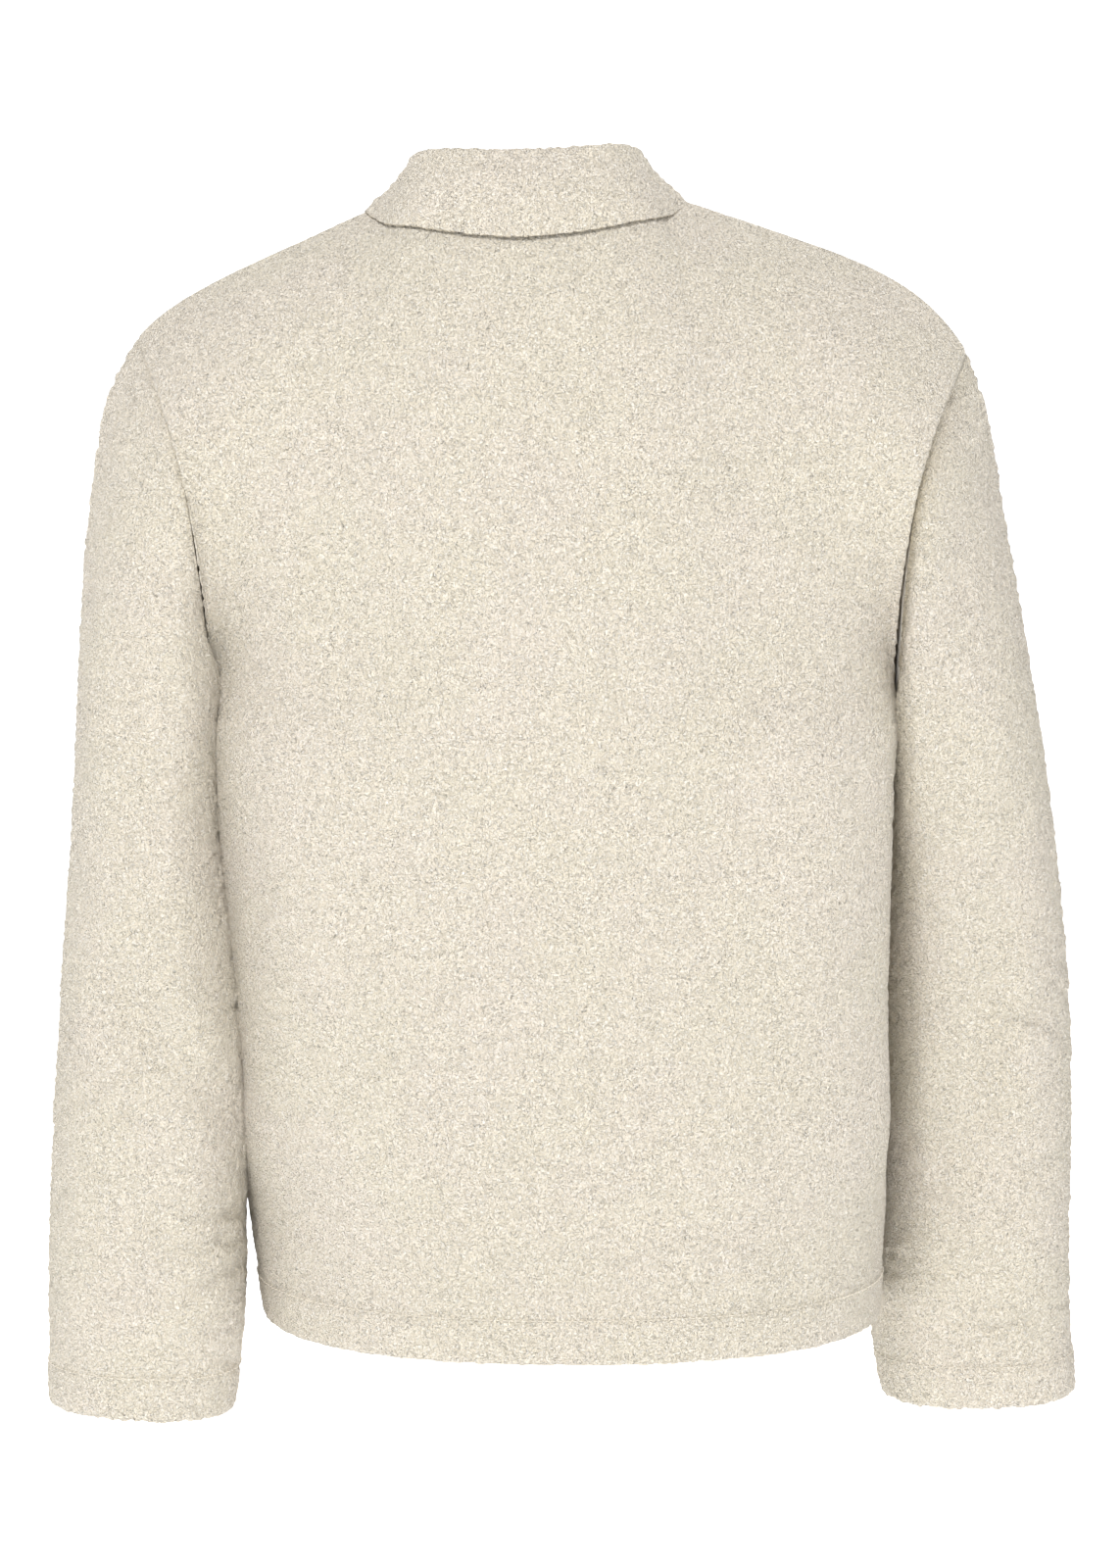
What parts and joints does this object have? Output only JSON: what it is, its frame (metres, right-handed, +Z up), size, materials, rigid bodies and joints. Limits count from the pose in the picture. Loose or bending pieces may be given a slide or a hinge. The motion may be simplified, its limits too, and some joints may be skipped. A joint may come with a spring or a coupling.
{
  "type": "borg rugby shirt",
  "caption": "Long-sleeved borg pullover shirt with a turned-down collar and buttoned neck placket, hollow as if worn.",
  "frame": {"origin": "middle of the line between the two neck points, where the wearer's shoulders carry the shirt", "axes": "+Z up, -Y to the front of the shirt, +X to the wearer's left"},
  "size_m": [0.6466, 0.2838, 0.7928],
  "materials": {
    "borg": "curly cream pile, matt",
    "twill": "plain cream twill, matt",
    "button": "satin horn-coloured resin"
  },
  "bodies": {
    "root": {"back_panel": "borg", "front_panel": "borg", "sleeve_left": "borg", "sleeve_right": "borg", "collar": "borg", "placket_outer": "twill", "placket_under": "twill", "button_1": "button", "button_2": "button", "button_3": "button"}
  },
  "joints": []
}
